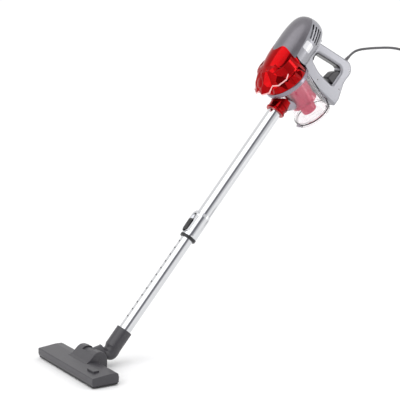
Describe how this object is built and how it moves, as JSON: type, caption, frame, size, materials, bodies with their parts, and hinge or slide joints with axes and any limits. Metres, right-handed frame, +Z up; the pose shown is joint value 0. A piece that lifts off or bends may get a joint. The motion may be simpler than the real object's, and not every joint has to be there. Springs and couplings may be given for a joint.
{
  "type": "upright vacuum cleaner",
  "caption": "Corded stick vacuum cleaner with a loop-handled motor and bagless cyclone unit, a clear dust cup, a telescopic chromed wand and a low swivelling floor head.",
  "frame": {"origin": "centre of the handle's rear grip, where the hand holds it", "axes": "+Y from the floor head towards the back of the handle, +Z up, +X to the right when seen from behind the handle"},
  "size_m": [0.389, 1.0749, 0.8204],
  "materials": {
    "chrome_tube": "polished chromed steel tube",
    "silver_plastic": "silver metallic plastic, satin",
    "cover_grey": "dark grey metallic plastic, satin",
    "red_clear": "red glossy translucent plastic",
    "pad_silver": "pale silver glossy button",
    "trigger_dark": "dark smooth plastic",
    "rim_metal": "grey metallic band",
    "clear_cup": "clear polished plastic",
    "duct_grey": "purple-grey smooth plastic",
    "shroud_rose": "rose-tinted moulding",
    "charcoal": "charcoal satin plastic",
    "black_ring": "black plastic",
    "sole_black": "black matt plastic",
    "bristle": "black nylon bristle strip",
    "wheel_black": "black rubber",
    "steel": "bright steel",
    "motor_metal": "plain steel",
    "inner_plastic": "black moulded plastic",
    "foam": "grey filter foam",
    "cord_black": "dark grey cord sheath",
    "brass": "plated brass pins"
  },
  "bodies": {
    "hand_unit": {"housing_left": "silver_plastic", "housing_right": "silver_plastic", "housing_screws": "steel", "motor_cover": "cover_grey", "front_shell": "red_clear", "crown_ledge": "red_clear", "crown_lower": "red_clear", "rim_band": "rim_metal", "cyclone_plate": "shroud_rose", "cyclone_cones": "shroud_rose", "shroud": "shroud_rose", "dust_funnel": "shroud_rose", "pre_filter": "foam", "exhaust_filter": "foam", "motor_can": "motor_metal", "motor_mount": "inner_plastic", "fan_housing": "inner_plastic", "inlet_collar": "red_clear", "cord_relief": "cord_black", "cord_tube": "cord_black", "cord_coil": "cord_black", "coil_tie": "cord_black", "plug_relief": "cord_black", "plug_body": "cord_black", "plug_pins": "brass"},
    "rotor": {"fan": "inner_plastic", "motor_shaft": "steel"},
    "release_left": {"release_left": "pad_silver"},
    "release_right": {"release_right": "pad_silver"},
    "power_trigger": {"power_trigger": "trigger_dark"},
    "dust_cup": {"dust_cup": "clear_cup", "inlet_duct": "duct_grey", "inlet_flange": "red_clear", "lid_lug": "duct_grey", "lid_pin": "steel", "lid_seal": "wheel_black", "latch_pin": "steel", "latch_ears": "duct_grey"},
    "cup_lid": {"cup_lid": "clear_cup"},
    "lid_latch": {"lid_latch": "trigger_dark"},
    "wand_upper": {"wand_upper": "chrome_tube", "telescope_sleeve": "charcoal", "sleeve_ring": "black_ring"},
    "lock_button": {"lock_button": "trigger_dark"},
    "wand_lower": {"wand_lower": "chrome_tube"},
    "elbow": {"elbow_socket": "charcoal"},
    "neck_barrel": {"neck_barrel": "charcoal"},
    "floor_head": {"head_cover": "charcoal", "sole_plate": "sole_black", "neck_housing": "charcoal", "barrel_pins": "steel", "axle_brackets": "charcoal", "wheel_axles": "steel"},
    "wheel_left": {"wheel_left": "wheel_black"},
    "wheel_right": {"wheel_right": "wheel_black"},
    "brush_pedal": {"brush_pedal": "charcoal"},
    "front_brush": {"front_brush": "bristle"},
    "rear_brush": {"rear_brush": "bristle"}
  },
  "joints": [
    {"name": "rotor_spin", "type": "hinge", "parent": "hand_unit", "child": "rotor", "pos_m": [0, -0.15048, 0.06265], "axis": [0, 0.6481, 0.7615], "continuous": true},
    {"name": "release_left_press", "type": "slide", "parent": "hand_unit", "child": "release_left", "axis": [1, 0, 0], "range_m": [0, 0.002], "stiffness_N_per_m": 400, "springref_m": -0.002},
    {"name": "release_right_press", "type": "slide", "parent": "hand_unit", "child": "release_right", "axis": [-1, 0, 0], "range_m": [0, 0.002], "stiffness_N_per_m": 400, "springref_m": -0.002},
    {"name": "trigger_pull", "type": "slide", "parent": "hand_unit", "child": "power_trigger", "axis": [0, 0.7615, -0.6481], "range_m": [0, 0.004], "stiffness_N_per_m": 400, "springref_m": -0.002},
    {"name": "cup_slide", "type": "slide", "parent": "hand_unit", "child": "dust_cup", "axis": [0, 0.6468, -0.7627], "range_m": [0, 0.12]},
    {"name": "lid_hinge", "type": "hinge", "parent": "dust_cup", "child": "cup_lid", "pos_m": [0, -0.11482, -0.11635], "axis": [1, 0, 0], "range_deg": [-100, 0]},
    {"name": "lid_latch_swing", "type": "hinge", "parent": "dust_cup", "child": "lid_latch", "pos_m": [0, -0.0385, -0.04586], "axis": [1, 0, 0], "range_deg": [0, 10], "stiffness_Nm_per_rad": 0.2, "springref_deg": -171.89},
    {"name": "wand_pull", "type": "slide", "parent": "hand_unit", "child": "wand_upper", "axis": [0, -0.6481, -0.7615], "range_m": [0, 0.04]},
    {"name": "lock_press", "type": "slide", "parent": "wand_upper", "child": "lock_button", "axis": [0, 0.6481, 0.7615], "range_m": [0, 0.006], "stiffness_N_per_m": 300, "springref_m": -0.002},
    {"name": "telescope", "type": "slide", "parent": "wand_upper", "child": "wand_lower", "axis": [0, 0.6481, 0.7615], "range_m": [0, 0.24]},
    {"name": "elbow_pull", "type": "slide", "parent": "wand_lower", "child": "elbow", "axis": [0, -0.6481, -0.7615], "range_m": [0, 0.04]},
    {"name": "neck_swivel", "type": "hinge", "parent": "elbow", "child": "neck_barrel", "pos_m": [0, -0.7105, -0.629], "axis": [0, 0.9781, 0.2079], "range_deg": [-40, 40]},
    {"name": "head_tilt", "type": "hinge", "parent": "neck_barrel", "child": "floor_head", "pos_m": [0, -0.7105, -0.629], "axis": [1, 0, 0], "range_deg": [-40, 25]},
    {"name": "wheel_left_spin", "type": "hinge", "parent": "floor_head", "child": "wheel_left", "pos_m": [-0.118, -0.7285, -0.65], "axis": [1, 0, 0], "continuous": true},
    {"name": "wheel_right_spin", "type": "hinge", "parent": "floor_head", "child": "wheel_right", "pos_m": [0.118, -0.7285, -0.65], "axis": [1, 0, 0], "continuous": true},
    {"name": "pedal_press", "type": "slide", "parent": "floor_head", "child": "brush_pedal", "axis": [0, 0, -1], "range_m": [0, 0.003]},
    {"name": "front_brush_lift", "type": "slide", "parent": "floor_head", "child": "front_brush", "axis": [0, 0, 1], "range_m": [0, 0.003]},
    {"name": "rear_brush_lift", "type": "slide", "parent": "floor_head", "child": "rear_brush", "axis": [0, 0, 1], "range_m": [0, 0.003]}
  ],
  "couplings": [
    {"joint": "front_brush_lift", "follows": "pedal_press", "ratio": 1},
    {"joint": "rear_brush_lift", "follows": "pedal_press", "ratio": 1}
  ]
}
